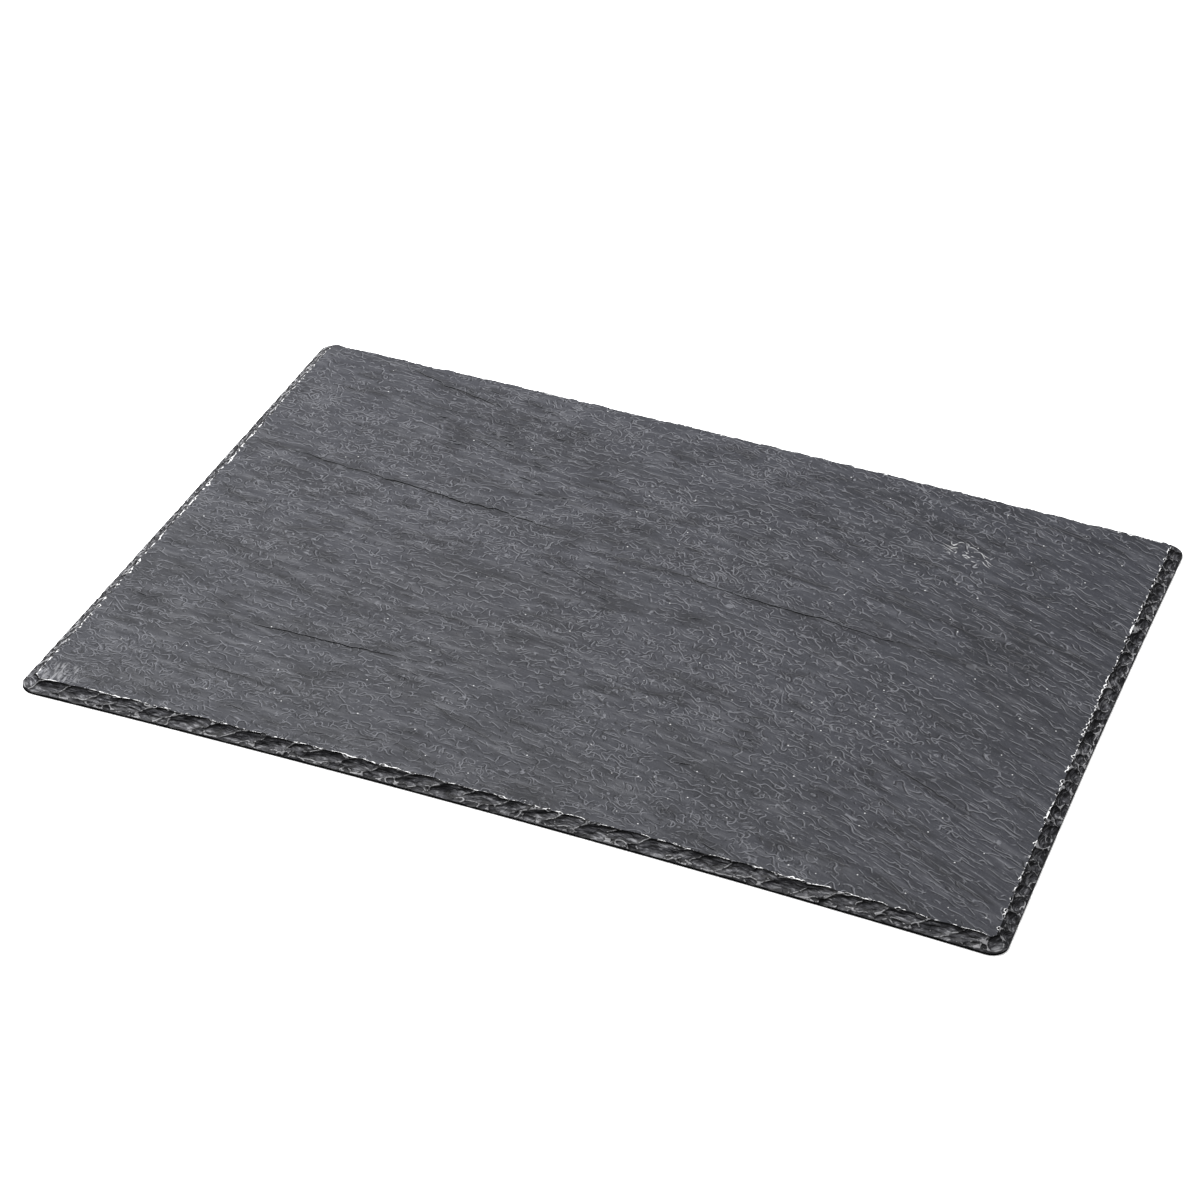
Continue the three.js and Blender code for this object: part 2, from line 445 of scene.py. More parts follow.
bpy.ops.object.mode_set(mode="EDIT")
bpy.ops.mesh.select_mode(type="FACE")
bpy.ops.mesh.select_all(action="SELECT")
bpy.ops.mesh.extrude_region_move(TRANSFORM_OT_translate={"value": (0, 0, LIP)})
bpy.ops.mesh.inset(thickness=BEVEL_RUN * OVERSHOOT, depth=BEVEL_RISE * OVERSHOOT)
bpy.ops.mesh.select_all(action="SELECT")
bpy.ops.mesh.normals_make_consistent(inside=False)
bpy.ops.object.mode_set(mode="OBJECT")
mark_faces(form, STRUCK)
cut(slab, form, "INTERSECT")
print("trimmed slab:", len(slab.data.polygons), "faces, mm:", [round(d / MM, 2) for d in slab.dimensions])

# %% [markdown]
# ## Flakes off the edge
# Each blow took a flake off the upper edge and left a scar like a shallow spoon: long leaning ones along the front
# and back, short ones at the two ends, small bites along the foot, and nicks in the rim. One rough ball is the
# chisel. It is scaled to a spoon, leaned over and sunk into the slope, again and again, with sizes drawn from a
# small seeded generator, so that every run strikes the same blows.

# %% The chisel: a rough ball
CHISEL_ROUGHNESS = 0.24
chisels = {}
for fineness in (2, 3, 4, 5):
    bpy.ops.object.select_all(action="DESELECT")
    bpy.ops.mesh.primitive_ico_sphere_add(subdivisions=fineness, radius=1)
    chisel = added("chisel")
    lumps = bpy.data.textures.new("lumps", "CLOUDS")
    lumps.noise_scale = 0.55
    lumps.noise_depth = 1
    finish_with(chisel, "DISPLACE", texture=lumps, strength=CHISEL_ROUGHNESS, mid_level=0.5)
    mark_faces(chisel, STRUCK)
    chisels[fineness] = chisel
print("chisels:", {key: len(ball.data.polygons) for key, ball in chisels.items()})

# %% [markdown]
# ## Rows of blows
# A mason works along one side at a time with blows of one kind, and yet no two of them are equal. So each kind of blow
# is a short list of limits in millimetres, and a row is struck by walking along a bowed side and drawing every blow
# within its limits. An Array modifier would be quicker to set, but its copies would all be alike.

# %% Kinds of blow, and how one is struck
LONG_FLAKES = dict(
    spacing=(8, 15), half_length=(10, 16), half_height=(3.4, 4.6), half_depth=(3.2, 4.2),
    bite=(0.8, 1.35), height=(0.5, 0.7), lean=(0.12, 0.3), fineness=5,
)
SHORT_FLAKES = dict(
    spacing=(7, 12), half_length=(4.5, 8), half_height=(3, 4.2), half_depth=(2.6, 3.6),
    bite=(0.8, 1.3), height=(0.4, 0.6), lean=(-0.7, -0.1), fineness=4,
)
FOOT_BITES = dict(
    spacing=(4.5, 9), half_length=(2.4, 5), half_height=(1.8, 2.8), half_depth=(1.5, 2.2),
    bite=(0.45, 0.8), height=(0.16, 0.36), lean=(-0.3, 0.5), fineness=3,
)
NIBBLES = dict(
    spacing=(8, 18), half_length=(1.2, 3), half_height=(1, 2), half_depth=(1, 1.4),
    bite=(0.3, 0.5), height=(0.1, 0.6), lean=(-0.6, 0.8), fineness=3,
)
RIM_NICKS = dict(
    spacing=(3, 9), half_length=(0.9, 2.2), half_height=(0.7, 1.3), half_depth=(0.8, 1.1),
    bite=(0.35, 0.6), height=(0.96, 1.08), lean=(-0.5, 0.5), fineness=2,
)
CORNER_FLAKE = dict(
    half_length=(9, 11), half_height=(4.5, 5.5), half_depth=(3.6, 4.2),
    bite=(1, 1.4), height=(0.55, 0.65), lean=(-0.2, 0.2), fineness=5,
)


def seeded(seed):
    """A small generator of numbers between 0 and 1, the same on every machine."""
    state = seed
    while True:
        state += 0x6D2B79F5
        mixed = ((state ^ ((state & 0xFFFFFFFF) >> 15)) * (state | 1)) & 0xFFFFFFFF
        mixed ^= (mixed + ((mixed ^ (mixed >> 7)) * (mixed | 61))) & 0xFFFFFFFF
        yield ((mixed ^ (mixed >> 14)) & 0xFFFFFFFF) / 4294967296


def between(limits, draws):
    return limits[0] + (limits[1] - limits[0]) * next(draws)


def side(start, end, hollow):
    """A bowed side as a function of the share of the way along it: place and heading."""
    start, end = Vector(start), Vector(end)
    along = (end - start).normalized()
    inward = Vector((-along.y, along.x))
    first, last = start + along * CORNER_RADIUS, end - along * CORNER_RADIUS

    def at(share):
        place = first.lerp(last, share) + inward * (hollow * bowed(2 * share - 1))
        heading = (last - first) + inward * (hollow * (4 - 8 * share))
        return place, heading.normalized()

    return at, (last - first).length


spin_luck = random.Random(9)


def blow(place, heading, kind, draws):
    """One chisel, scaled to a spoon and set in the slope of the edge."""
    along = Vector((heading.x, heading.y, 0))
    up_slope = Vector((-heading.y * BEVEL_RUN, heading.x * BEVEL_RUN, BEVEL_RISE)).normalized()
    out = along.cross(up_slope)
    half_depth = between(kind["half_depth"], draws) * MM
    half_length = between(kind["half_length"], draws) * MM
    half_height = between(kind["half_height"], draws) * MM
    lean = between(kind["lean"], draws)
    rise = between(kind["height"], draws) * BEVEL_SLOPE
    bite = between(kind["bite"], draws) * MM
    centre = Vector((place.x, place.y, LIP)) + up_slope * rise + out * (half_depth - bite)
    on_slope = Matrix((along, up_slope, out)).transposed().to_4x4()
    spin = Matrix.Rotation(spin_luck.uniform(0, math.tau), 4, "X")
    spin = Matrix.Rotation(spin_luck.uniform(0, math.tau), 4, "Y") @ spin
    spoon = Matrix.Diagonal((half_length, half_height, half_depth, 1))
    tool = bpy.data.objects.new("spoon", chisels[kind["fineness"]].data.copy())
    bpy.context.collection.objects.link(tool)
    tool.data.transform(
        Matrix.Translation(centre) @ on_slope @ Matrix.Rotation(lean, 4, "Z") @ spoon @ spin
    )
    return tool


def blows_along(way, kind, seed):
    """A row of blows from one end of a side to the other."""
    at, length = way
    draws = seeded(seed)
    next(draws)
    tools = []
    run = between(kind["spacing"], draws) * MM / 2
    while run < length:
        tools.append(blow(*at(run / length), kind, draws))
        run += between(kind["spacing"], draws) * MM
    return tools


print("long flakes bite up to", LONG_FLAKES["bite"][1], "mm, rim nicks up to", RIM_NICKS["bite"][1], "mm")

# %% [markdown]
# ## The four sides, the corners and the face
# The front and back get long flakes and the two ends short ones. All four sides get small bites, nibbles and nicks,
# and a broader flake comes off each corner. The same ball, sunk in the face, leaves the facet at the front left corner
# and the patch of pits at the back left. All of them are cut in rounds, like the ledges.

# %% Strike the sides, the corners and the face
PITS = 11
front_left, front_right = (-half_length, front_y), (half_length, front_y)
back_left, back_right = (-half_length, back_y), (half_length, back_y)
front = side(front_left, front_right, FRONT_HOLLOW)
right_end = side(front_right, back_right, RIGHT_HOLLOW)
far_side = side(back_right, back_left, -BACK_BULGE)
left_end = side(back_left, front_left, LEFT_HOLLOW)

tools = blows_along(front, LONG_FLAKES, 11)
tools += blows_along(right_end, SHORT_FLAKES, 13)
tools += blows_along(far_side, LONG_FLAKES, 14)
tools += blows_along(left_end, SHORT_FLAKES, 16)
for number, way in enumerate((front, right_end, far_side, left_end)):
    tools += blows_along(way, FOOT_BITES, 10 + number)
    tools += blows_along(way, NIBBLES, 20 + number)
    tools += blows_along(way, RIM_NICKS, 30 + number)


def dent(x, y, size, bite, turn=0.0, fineness=3):
    """A shallow hollow in the face itself."""
    tool = bpy.data.objects.new("dent", chisels[fineness].data.copy())
    bpy.context.collection.objects.link(tool)
    sunk = Matrix.Translation(Vector((x * MM, y * MM, THICKNESS + (size[2] - bite) * MM)))
    tool.data.transform(sunk @ Matrix.Rotation(turn, 4, "Z") @ Matrix.Diagonal((*(Vector(size) * MM), 1)))
    tool.data.attributes.remove(tool.data.attributes["struck"])
    mark_faces(tool, RIVEN)
    return tool


tools.append(dent(-186, -139.5, (13, 10, 5), 0.9, 0.6, 4))
pit_luck = random.Random(7)
for _ in range(PITS):
    radius = pit_luck.uniform(0.9, 1.8)
    x, y = pit_luck.uniform(-121, -83), pit_luck.uniform(80, 122)
    tools.append(dent(x, y, (1.5 * radius, radius, radius), pit_luck.uniform(0.4, 0.6), -0.1))

corner_draws = seeded(40)
for x, y in (front_left, front_right, back_right, back_left):
    outward = Vector((math.copysign(1, x), math.copysign(1, y))).normalized()
    corner_middle = Vector((x, y)) - outward * CORNER_RADIUS * (math.sqrt(2) - 1)
    tools.append(blow(corner_middle, Vector((-outward.y, outward.x)), CORNER_FLAKE, corner_draws))

count = cut_in_rounds(slab, tools)
for chisel in chisels.values():
    bpy.data.objects.remove(chisel)
print("blows:", len(tools), "in", count, "rounds;", len(slab.data.polygons), "faces")

# %% [markdown]
# ## Triangles and shading
# Cutting leaves faces with many sides. Splitting them into triangles settles how each one bends, which the measuring
# below relies on. The faces are then shaded smooth except across sharp ridges, so that scars look rounded and the
# edges between them stay crisp.

# %% Triangulate and shade
SHARP = math.radians(34)
take(slab)
bpy.ops.object.mode_set(mode="EDIT")
bpy.ops.mesh.select_mode(type="VERT")
bpy.ops.mesh.select_all(action="SELECT")
bpy.ops.mesh.quads_convert_to_tris()
bpy.ops.object.mode_set(mode="OBJECT")
bpy.ops.object.shade_smooth_by_angle(angle=SHARP)
print("slab:", len(slab.data.polygons), "triangles, mm:", [round(d / MM, 3) for d in slab.dimensions])

# %% [markdown]
# ## Where the stone is crushed, and where light and shade are painted
# A struck rim is pale, partly because the stone along it is crushed to powder and partly as a painted highlight. The
# ridges between scars are pale too, with crushed stone and a painted highlight, and the foot of every wall is painted
# dark as shade. All this follows the shape, so it is measured from it: each edge of the mesh says what it parts and
# how sharply it turns, outward or inward. Every point then keeps its distance to the nearest rim, ridge and hollow as
# an attribute, which the material can turn into lines of any width.

# %% Measure the distance to rims, ridges and hollows
from mathutils.kdtree import KDTree

SHARP_TURN = math.radians(28)
FAR = 8.0
LINE_STEP = 0.25


def edge_turns(mesh):
    """For every edge between two faces: its ends, the kinds it parts, its turn, and if that is outward."""
    normals = np.empty(3 * len(mesh.polygons))
    centres = np.empty(3 * len(mesh.polygons))
    kinds = np.empty(len(mesh.polygons))
    loop_edges = np.empty(len(mesh.loops), int)
    ends = np.empty(2 * len(mesh.edges), int)
    mesh.polygons.foreach_get("normal", normals)
    mesh.polygons.foreach_get("center", centres)
    mesh.attributes["struck"].data.foreach_get("value", kinds)
    mesh.loops.foreach_get("edge_index", loop_edges)
    mesh.edges.foreach_get("vertices", ends)
    normals, centres = normals.reshape(-1, 3), centres.reshape(-1, 3)
    order = np.flatnonzero(np.bincount(loop_edges)[loop_edges] == 2)
    order = order[np.argsort(loop_edges[order], kind="stable")]
    one, other = order[0::2] // 3, order[1::2] // 3
    turns = np.arccos(np.clip((normals[one] * normals[other]).sum(1), -1, 1))
    outward = ((centres[other] - centres[one]) * normals[one]).sum(1) < 0
    return ends.reshape(-1, 2)[loop_edges[order[0::2]]], kinds[one] + kinds[other], turns, outward


def distance_to(lines, places):
    """The distance in millimetres from each place to the nearest of the lines."""
    steps = []
    for start, end in lines / MM:
        count = 1 + int(np.linalg.norm(end - start) / LINE_STEP)
        for number in range(count + 1):
            steps.append(start + (end - start) * number / count)
    tree = KDTree(len(steps))
    for number, step in enumerate(steps):
        tree.insert(step, number)
    tree.balance()
    return np.array([min(FAR, tree.find(place)[2]) for place in places / MM], np.float32)


places = points_of(slab)
ends, kinds, turns, outward = edge_turns(slab.data)
sharp = turns > SHARP_TURN
above_lip = places[ends].mean(1)[:, 2] > 1.2 * LIP
lines = {
    "rim": (kinds == RIVEN + STRUCK) & above_lip,
    "ridge": (kinds == 2 * STRUCK) & sharp & outward & above_lip,
    "hollow": (kinds == 2 * STRUCK) & sharp & ~outward,
    "brow": (kinds == 2 * RIVEN) & sharp & outward,
    "foot": (kinds == 2 * RIVEN) & sharp & ~outward,
}
for name, chosen in lines.items():
    measured = slab.data.attributes.new(name, "FLOAT", "POINT")
    measured.data.foreach_set("value", distance_to(places[ends[chosen]], places))
    print(name, "lines:", int(chosen.sum()), "edges")

# %% [markdown]
# ## The stone
# Slate is a dull blue grey with a faint silky sheen along its cleavage. Its colours are laid over each other like thin
# washes, each through a mask of its own. Every mask reads the place on the slab itself, so the stone stays put when the
# camera moves. A photograph as texture would carry its light along, and these helpers keep the node lists short.

# %% Node helper
def node(tree, kind, inputs=None, **settings):
    """Adds a node, sets its options, and links or sets its inputs."""
    made = tree.nodes.new(kind)
    for name, value in settings.items():
        setattr(made, name, value)
    for name, value in (inputs or {}).items():
        socket = made.inputs[name]
        if isinstance(value, bpy.types.NodeSocket):
            tree.links.new(value, socket)
        else:
            socket.default_value = value
    return made


def math_node(tree, operation, first, second=0.0, third=0.0):
    return node(tree, "ShaderNodeMath", {0: first, 1: second, 2: third}, operation=operation).outputs[0]


def ramp(tree, value, low, high, start=0.0, end=1.0):
    """A smooth step of a value from one level to another."""
    made = node(
        tree, "ShaderNodeMapRange", {0: value, 1: low, 2: high, 3: start, 4: end}, interpolation_type="SMOOTHSTEP"
    )
    return made.outputs[0]


def noise(tree, vector, scale, detail=2.0, rough=0.5):
    made = node(
        tree, "ShaderNodeTexNoise", {"Vector": vector, "Scale": scale, "Detail": detail, "Roughness": rough}
    )
    return made.outputs["Fac"]


slate = bpy.data.materials.new("slate")
slate.use_nodes = True
tree = slate.node_tree
shader = tree.nodes["Principled BSDF"]
place = node(tree, "ShaderNodeTexCoord").outputs["Object"]
print("slate material started")

# %% [markdown]
# ## Grain
# Seen close, slate is full of short curling fibres that run with the grain, and the grain bends down to the right. A
# thin band round one value of a noise draws a curl, but the band grows wide where the noise is flat. Two more readings
# a little to the side give the slope, and dividing by it keeps every fibre equally thin. Hair would be far heavier.
# Beside each pale fibre a thin dark line is painted on its lower side, as its shade.

# %% Grain that turns to the right
in_mm = node(tree, "ShaderNodeVectorMath", {0: place, "Scale": 1000.0}, operation="SCALE").outputs[0]
split = node(tree, "ShaderNodeSeparateXYZ", {0: in_mm})
right_part = math_node(tree, "MAXIMUM", split.outputs["X"], 0.0)
squared = math_node(tree, "POWER", right_part, 2.0)
fall = math_node(tree, "MULTIPLY_ADD", split.outputs["X"], 0.08, math_node(tree, "MULTIPLY", squared, 0.0011))
bent_y = math_node(tree, "ADD", split.outputs["Y"], fall)
drawn_x = math_node(tree, "MULTIPLY_ADD", squared, -0.0007, split.outputs["X"])
grain = node(tree, "ShaderNodeCombineXYZ", {0: drawn_x, 1: bent_y, 2: split.outputs["Z"]}).outputs[0]


def stretched(vector, along, across, up=1.0):
    """Coordinates in units of one feature: so long along the grain, so wide across it."""
    return node(
        tree, "ShaderNodeVectorMath", {0: vector, 1: (1 / along, 1 / across, 1 / up)}, operation="MULTIPLY"
    ).outputs[0]


PROBE = 0.25
calm = ramp(tree, split.outputs["X"], 20.0, 190.0, 1.0, 0.5)
zone = noise(tree, stretched(grain, 75, 45, 45), 1.0, 1.0, 0.5)
calm = math_node(tree, "MULTIPLY", calm, ramp(tree, zone, 0.4, 0.6, 0.55, 1.1))


def fibres(period, size, bend, gap):
    """Rows of fibres one period apart, bent into curls by a noise and broken up by another.

    Two more readings of the noise, a little to the side, tell how steep it is, and so how far the next fibre is.
    """
    def curl(shift):
        moved = node(tree, "ShaderNodeVectorMath", {0: grain, 1: shift}, operation="ADD").outputs[0]
        bent = noise(tree, stretched(moved, *size), 1.0, 0.0)
        return math_node(tree, "MULTIPLY_ADD", math_node(tree, "MULTIPLY", bent, calm), bend, shift[1] / period)

    here = curl((0, 0, 0))
    beside = math_node(tree, "SUBTRACT", curl((PROBE, 0, 0)), here)
    beyond = math_node(tree, "SUBTRACT", curl((0, PROBE, 0)), here)
    steep = math_node(tree, "MULTIPLY_ADD", beyond, beyond, math_node(tree, "MULTIPLY", beside, beside))
    steep = math_node(tree, "MAXIMUM", math_node(tree, "SQRT", steep), 0.12 * PROBE)
    phase = math_node(tree, "ADD", here, math_node(tree, "DIVIDE", bent_y, period))
    nearest = math_node(tree, "SUBTRACT", math_node(tree, "FRACT", phase), 0.5)
    away = math_node(tree, "MULTIPLY", math_node(tree, "DIVIDE", nearest, steep), PROBE)
    kept = ramp(tree, noise(tree, stretched(grain, *gap), 1.0, 2.0, 0.6), 0.46, 0.62)
    light = ramp(tree, math_node(tree, "ABSOLUTE", away), 0.38, 0.06)
    # a dark line just beside each fibre, on its lower side: painted shade
    under = math_node(tree, "ABSOLUTE", math_node(tree, "ADD", away, 0.6))
    painted_shade_line = ramp(tree, under, 0.45, 0.08)
    return math_node(tree, "MULTIPLY", light, kept), math_node(tree, "MULTIPLY", painted_shade_line, kept)


light_fibre, painted_fibre_shade = fibres(5.8, (3.7, 4.5, 4.2), 3.3, (3.6, 4.4, 3.6))
for settings in ((7.0, (5.0, 5.5, 5.8), -4.2, (3.0, 3.8, 3.0)), (4.0, (6.2, 4.4, 4.4), 2.6, (4.6, 3.0, 3.6))):
    light, painted_shade_line = fibres(*settings)
    light_fibre = math_node(tree, "MAXIMUM", light_fibre, light)
    painted_fibre_shade = math_node(tree, "MAXIMUM", painted_fibre_shade, painted_shade_line)
print("curling grain made")

# %% [markdown]
# ## Mottling and specks
# The ground isn't even: there are broad dark clouds, streaks a finger long and a fine tooth. Noises stretched along
# the grain give all three. Glints of bright grains are painted in as white specks, more of them to the right and to the
# front. A Voronoi texture puts one speck in each cell, and a random number decides which of them are seen.

# %% Mottling and specks
mottle = noise(tree, stretched(grain, 55, 22, 22), 1.0, 3.0, 0.55)
streak = noise(tree, stretched(grain, 17, 4.0, 4.0), 1.0, 3.0, 0.6)
fine = noise(tree, stretched(in_mm, 0.9, 0.7, 0.7), 1.0, 2.0, 0.6)

# painted glints: white specks where bright grains catch the light
glint_cells = node(tree, "ShaderNodeTexVoronoi", {"Vector": stretched(in_mm, 5, 5, 5), "Scale": 1.0})
glint_pick = node(tree, "ShaderNodeSeparateColor", {0: glint_cells.outputs["Color"]})
glint_size = ramp(tree, glint_cells.outputs["Distance"], 0.085, 0.04)
glint_more = ramp(tree, split.outputs["X"], -200.0, 200.0, 0.9, 0.5)
glint_more = math_node(tree, "MULTIPLY_ADD", ramp(tree, split.outputs["Y"], 0.0, -140.0), -0.08, glint_more)
glint_there = math_node(tree, "GREATER_THAN", glint_pick.outputs[0], glint_more)
painted_glint = math_node(tree, "MULTIPLY", glint_size, glint_there)
print("mottling made")

# %% [markdown]
# ## Lines along the edges
# The measured distances become lines here. A noise breaks the pale rim, crushed powder with a painted highlight, into
# dashes, since a crushed edge is never even. Just below it, beside the ridges, in the hollows, at the foot of the
# ledges and on the lip, shade is painted dark, and highlights are painted on the ridges and ledge brows. All this could
# be painted by hand, but then it would have to be painted again after every change of shape.

# %% Lines along rims, ridges and hollows
def attribute(name):
    return node(tree, "ShaderNodeAttribute", attribute_name=name).outputs["Fac"]


struck = attribute("struck")
lamina = noise(tree, stretched(in_mm, 4.5, 4.5, 0.5), 1.0, 4.0, 0.62)
riven = math_node(tree, "SUBTRACT", 1.0, struck)
# pale dashes along the rim: crushed powder and a painted highlight
dashes = noise(tree, stretched(in_mm, 2.6, 2.6, 2.6), 1.0, 3.0, 0.65)
rim_width_shift = ramp(tree, noise(tree, stretched(in_mm, 15, 15, 15), 1.0, 1.0, 0.5), 0.3, 0.7, 0.2, -0.2)
uneven = math_node(tree, "MULTIPLY_ADD", dashes, -3.2, math_node(tree, "ADD", attribute("rim"), rim_width_shift))
rim_powder_and_highlight = math_node(tree, "MULTIPLY", ramp(tree, uneven, -1.4, -1.68), riven)
# painted shadow on the struck face just below the rim
painted_rim_shadow = math_node(tree, "MULTIPLY", ramp(tree, attribute("rim"), 1.3, 0.5), struck)
# pale ridges between scars: crushed stone and a painted highlight
ridge_crush_and_highlight = math_node(tree, "MULTIPLY", ramp(tree, attribute("ridge"), 0.32, 0.1), ramp(tree, dashes, 0.44, 0.53))
ridge_crush_and_highlight = math_node(tree, "MULTIPLY", ridge_crush_and_highlight, struck)
# painted shade in a band beside each ridge
painted_ridge_shade = ramp(tree, attribute("ridge"), 1.3, 0.4)
# painted shade in the hollows between scars
painted_hollow_shade = math_node(tree, "MULTIPLY", ramp(tree, attribute("hollow"), 1.2, 0.2), struck)
# painted shadow at the foot of each ledge: a thin dark line broken into dashes, and a wider band of painted shade
foot_broken = ramp(tree, noise(tree, stretched(grain, 9, 5, 5), 1.0, 2.0, 0.6), 0.44, 0.58, 0.3, 1.0)
painted_foot_shadow = math_node(tree, "MULTIPLY", ramp(tree, attribute("foot"), 1.0, 0.2), foot_broken)
foot_shade = math_node(tree, "MULTIPLY", ramp(tree, attribute("foot"), 6.0, 0.3), ramp(tree, streak, 0.62, 0.4))
# painted highlight along the brow of each ledge
painted_brow_highlight = math_node(tree, "MULTIPLY", ramp(tree, attribute("brow"), 0.5, 0.1), riven)
# painted shadow on the upright lip at the foot
painted_lip_shadow = ramp(tree, split.outputs["Z"], 1.15, 0.85)
print("lines made from", len(lines), "distances")

# %% [markdown]
# ## Marks of its own
# A few marks belong to this slab alone: a scuff at the back right, fine scratches at the front right and a pale fan on
# the corner facet. Each is an oval patch with a texture inside it, placed in millimetres like everything else.

# %% Scuff, scratches and fan
def patch(x, y, half_x, half_y, turn=0.0):
    """One inside an oval on the face, fading to nothing at its border."""
    oval = node(
        tree, "ShaderNodeMapping",
        {"Vector": in_mm, "Location": (x, y, 0), "Rotation": (0, 0, turn), "Scale": (half_x, half_y, 1e4)},
        vector_type="TEXTURE",
    ).outputs[0]
    reach = node(tree, "ShaderNodeVectorMath", {0: oval}, operation="LENGTH").outputs["Value"]
    return ramp(tree, reach, 1.0, 0.55)


ladder = math_node(tree, "MULTIPLY", patch(117, 98, 15, 8, -0.5), math_node(tree, "MAXIMUM", light_fibre, painted_glint))
hairs = ramp(tree, noise(tree, stretched(grain, 11, 1.1, 5), 1.0, 2.0, 0.5), 0.6, 0.7)
scratches = math_node(tree, "MULTIPLY", patch(165, -100, 38, 44), hairs)
rays = ramp(tree, noise(tree, stretched(in_mm, 1.2, 6, 5), 1.0, 2.0, 0.6), 0.45, 0.65)
fan = math_node(tree, "MULTIPLY", patch(-188, -140, 13, 10, 0.5), rays)
print("marks made")

# %% [markdown]
# ## Colour
# Now the washes come together: first those of the riven face, then those of the struck edge, which cover the face
# wherever the cutting left its mark. The powder and painted highlight on the rim come last, over both. Painted shade
# and highlights are among the washes of both. One Color Ramp for all would be shorter, but then no wash could be
# changed alone.

# %% Colour
# the deep, pale, black, powder and crushed colours give the stone's own tones and also painted shade, shadow and
# highlights
GROUND = (0.0238, 0.0250, 0.0318, 1)
DEEP_TONE_AND_SHADE = (0.0080, 0.0084, 0.0110, 1)
PALE_TONE_AND_HIGHLIGHT = (0.112, 0.114, 0.127, 1)
STRUCK_GROUND = (0.052, 0.052, 0.059, 1)
EDGE_PALE = (0.26, 0.262, 0.275, 1)
CRUSHED_AND_HIGHLIGHT = (0.32, 0.32, 0.33, 1)
POWDER_AND_HIGHLIGHT = (0.75, 0.75, 0.75, 1)
BLACK_TONE_AND_SHADOW = (0.006, 0.006, 0.007, 1)


def laid_over(under, over, amount, share=1.0):
    mixed = node(tree, "ShaderNodeMix", data_type="RGBA")
    if share != 1.0:
        amount = math_node(tree, "MULTIPLY", amount, share)
    tree.links.new(amount, mixed.inputs["Factor"])
    for socket, value in ((mixed.inputs[6], under), (mixed.inputs[7], over)):
        if isinstance(value, bpy.types.NodeSocket):
            tree.links.new(value, socket)
        else:
            socket.default_value = value
    return mixed.outputs[2]


colour = laid_over(GROUND, DEEP_TONE_AND_SHADE, ramp(tree, mottle, 0.58, 0.34, 0.0, 0.5))
colour = laid_over(colour, PALE_TONE_AND_HIGHLIGHT, ramp(tree, streak, 0.48, 0.76, 0.0, 0.3))
colour = laid_over(colour, DEEP_TONE_AND_SHADE, ramp(tree, streak, 0.46, 0.28, 0.0, 0.45))
# painted shade beside each fibre
colour = laid_over(colour, DEEP_TONE_AND_SHADE, painted_fibre_shade, 0.9)
colour = laid_over(colour, PALE_TONE_AND_HIGHLIGHT, light_fibre)
colour = laid_over(colour, PALE_TONE_AND_HIGHLIGHT, ramp(tree, fine, 0.52, 0.8, 0.0, 0.25))
# painted shade and shadow at the foot of the ledges
colour = laid_over(colour, DEEP_TONE_AND_SHADE, foot_shade, 0.6)
colour = laid_over(colour, BLACK_TONE_AND_SHADOW, painted_foot_shadow, 0.8)
# painted highlight on the ledge brows
colour = laid_over(colour, PALE_TONE_AND_HIGHLIGHT, painted_brow_highlight, 0.4)
# painted glints
colour = laid_over(colour, POWDER_AND_HIGHLIGHT, painted_glint, 0.6)
colour = laid_over(colour, POWDER_AND_HIGHLIGHT, ladder, 0.4)
colour = laid_over(colour, PALE_TONE_AND_HIGHLIGHT, scratches, 0.8)
colour = laid_over(colour, EDGE_PALE, fan, 0.6)

edge = laid_over(STRUCK_GROUND, BLACK_TONE_AND_SHADOW, ramp(tree, lamina, 0.5, 0.42, 0.0, 0.9))
edge = laid_over(edge, EDGE_PALE, ramp(tree, lamina, 0.53, 0.64, 0.0, 0.8))
# painted shade beside the ridges
edge = laid_over(edge, BLACK_TONE_AND_SHADOW, painted_ridge_shade, 0.65)
# painted shade in the hollows
edge = laid_over(edge, BLACK_TONE_AND_SHADOW, painted_hollow_shade, 0.8)
# painted shadow under the rim
edge = laid_over(edge, BLACK_TONE_AND_SHADOW, painted_rim_shadow, 0.9)
# crushed stone and painted highlight on the ridges
edge = laid_over(edge, CRUSHED_AND_HIGHLIGHT, ridge_crush_and_highlight, 0.9)
# painted shadow on the lip
edge = laid_over(edge, BLACK_TONE_AND_SHADOW, painted_lip_shadow, 0.95)

colour = laid_over(colour, edge, struck)
# rim: crushed powder and a painted highlight, over both
colour = laid_over(colour, POWDER_AND_HIGHLIGHT, rim_powder_and_highlight)
tree.links.new(colour, shader.inputs["Base Color"])

roughness = ramp(tree, streak, 0.2, 0.8, 0.66, 0.5)
tree.links.new(roughness, shader.inputs["Roughness"])
shader.inputs["Specular IOR Level"].default_value = 0.16
print("washes:", sum(made.bl_idname == "ShaderNodeMix" for made in tree.nodes))

# %% [markdown]
# ## Fine relief
# The fibres stand up from the face by less than a tenth of a millimetre, which is too little to model. A Bump node
# tilts the shading with the same masks, so that light and colour agree.

# %% Fine relief
relief = math_node(tree, "SUBTRACT", light_fibre, painted_fibre_shade)
relief = math_node(tree, "MULTIPLY_ADD", fine, 0.6, relief)
relief = math_node(tree, "MULTIPLY_ADD", streak, 2.5, relief)
bump = node(tree, "ShaderNodeBump", {"Strength": 1.0, "Distance": 0.1 * MM, "Height": relief})
tree.links.new(bump.outputs["Normal"], shader.inputs["Normal"])
slab.data.materials.clear()
slab.data.materials.append(slate)
print("slate material:", len(tree.nodes), "nodes")

# %% [markdown]
# ## Floor and light
# The photograph is a plain product shot: a white ground and soft light. A large plane is the floor. A big soft light
# behind and to the left models the ledges and leaves the front edge darker, as in the photograph, and the white
# surroundings fill the rest.

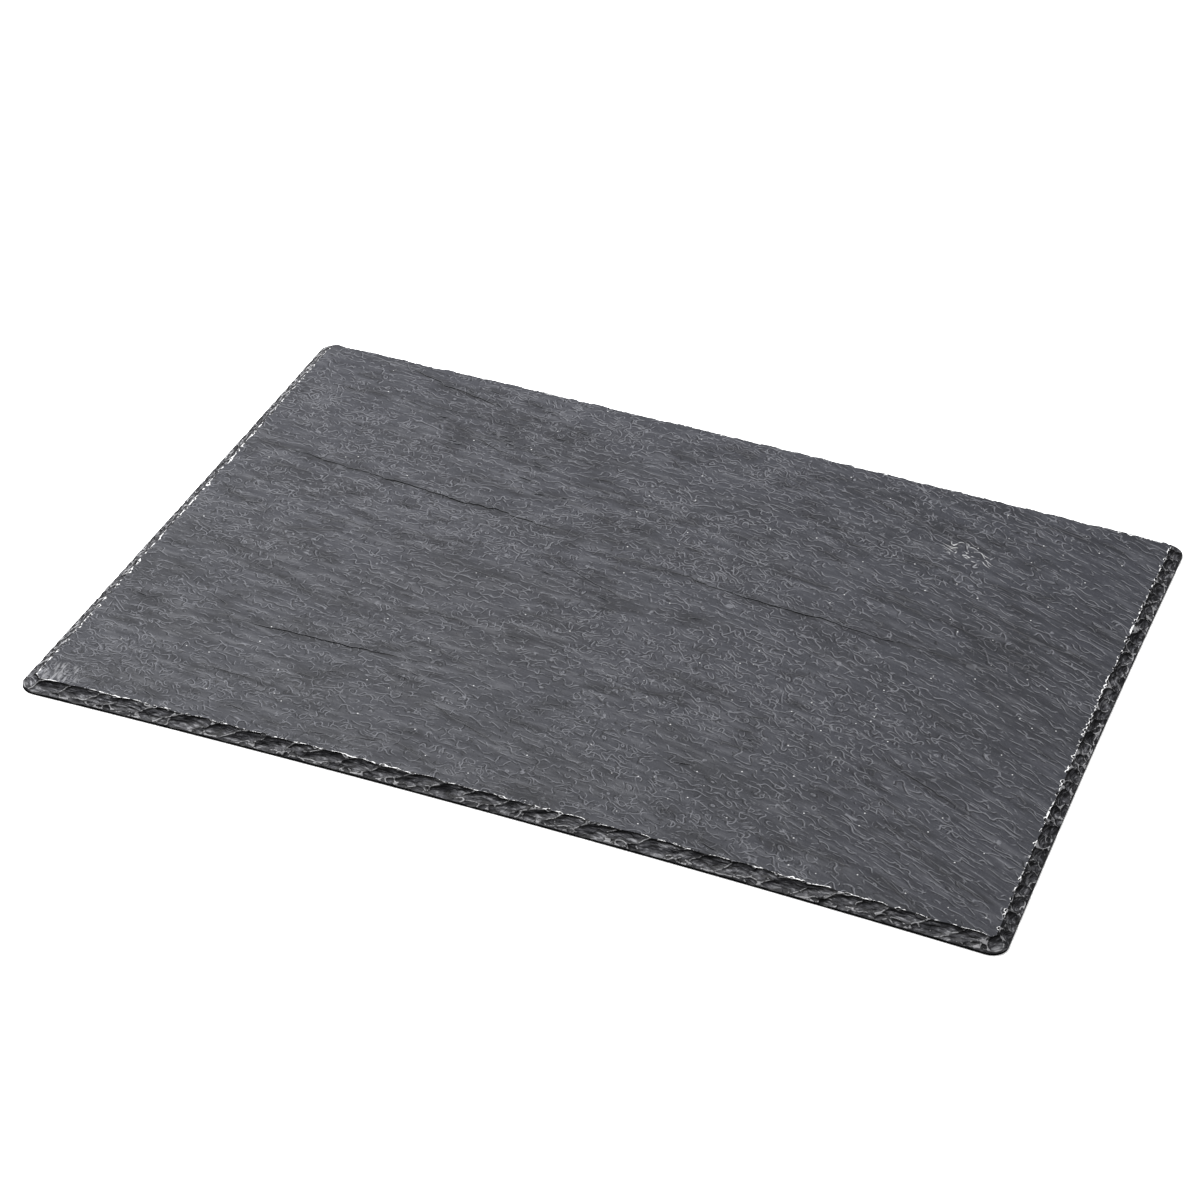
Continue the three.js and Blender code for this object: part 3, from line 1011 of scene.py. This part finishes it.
# %% Floor, lights and colour
FLOOR_GAP = 0.05 * MM
bpy.ops.object.select_all(action="DESELECT")
bpy.ops.mesh.primitive_plane_add(size=8, location=(0, 0, -FLOOR_GAP))
floor = added("studio_floor")
paper = bpy.data.materials.new("white_paper")
paper.use_nodes = True
paper_tree = paper.node_tree
paper_shader = paper_tree.nodes["Principled BSDF"]
paper_shader.inputs["Base Color"].default_value = (0.92, 0.92, 0.92, 1)
paper_shader.inputs["Roughness"].default_value = 0.9
paper_shader.inputs["Emission Color"].default_value = (1, 1, 1, 1)
paper_shader.inputs["Emission Strength"].default_value = 0.45
dim = node(paper_tree, "ShaderNodeBsdfDiffuse", {"Color": (0.12, 0.12, 0.12, 1)})
seen = node(paper_tree, "ShaderNodeLightPath").outputs["Is Camera Ray"]
paper_mix = node(paper_tree, "ShaderNodeMixShader", {0: seen, 1: dim.outputs[0], 2: paper_shader.outputs[0]})
paper_tree.links.new(paper_mix.outputs[0], paper_tree.nodes["Material Output"].inputs["Surface"])
floor.data.materials.append(paper)


def soft_light(name, place, aim, size, power):
    lamp = bpy.data.lights.new(name, "AREA")
    lamp.shape = "RECTANGLE"
    lamp.size, lamp.size_y = size
    lamp.energy = power
    holder = bpy.data.objects.new(name, lamp)
    bpy.context.collection.objects.link(holder)
    holder.location = place
    holder.rotation_euler = (Vector(aim) - Vector(place)).to_track_quat("-Z", "Y").to_euler()


soft_light("softbox_over_left", (-0.56, 0.44, 1.09), (-0.05, 0.03, 0), (1.1, 1.1), 44)
world = bpy.data.worlds.new("white_studio")
bpy.context.scene.world = world
world.use_nodes = True
world_tree = world.node_tree
fill = world_tree.nodes["Background"]
fill.inputs["Color"].default_value = (1, 1, 1, 1)
fill.inputs["Strength"].default_value = 0.25
backdrop = node(world_tree, "ShaderNodeBackground", {"Color": (1, 1, 1, 1), "Strength": 1.0})
seen = node(world_tree, "ShaderNodeLightPath").outputs["Is Camera Ray"]
sky = node(world_tree, "ShaderNodeMixShader", {0: seen, 1: fill.outputs[0], 2: backdrop.outputs[0]})
world_tree.links.new(sky.outputs[0], world_tree.nodes["World Output"].inputs["Surface"])
bpy.context.scene.view_settings.view_transform = "Standard"
print("stage set")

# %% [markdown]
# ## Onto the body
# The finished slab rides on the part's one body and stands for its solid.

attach(slab, "root")
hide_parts("slate_slab")
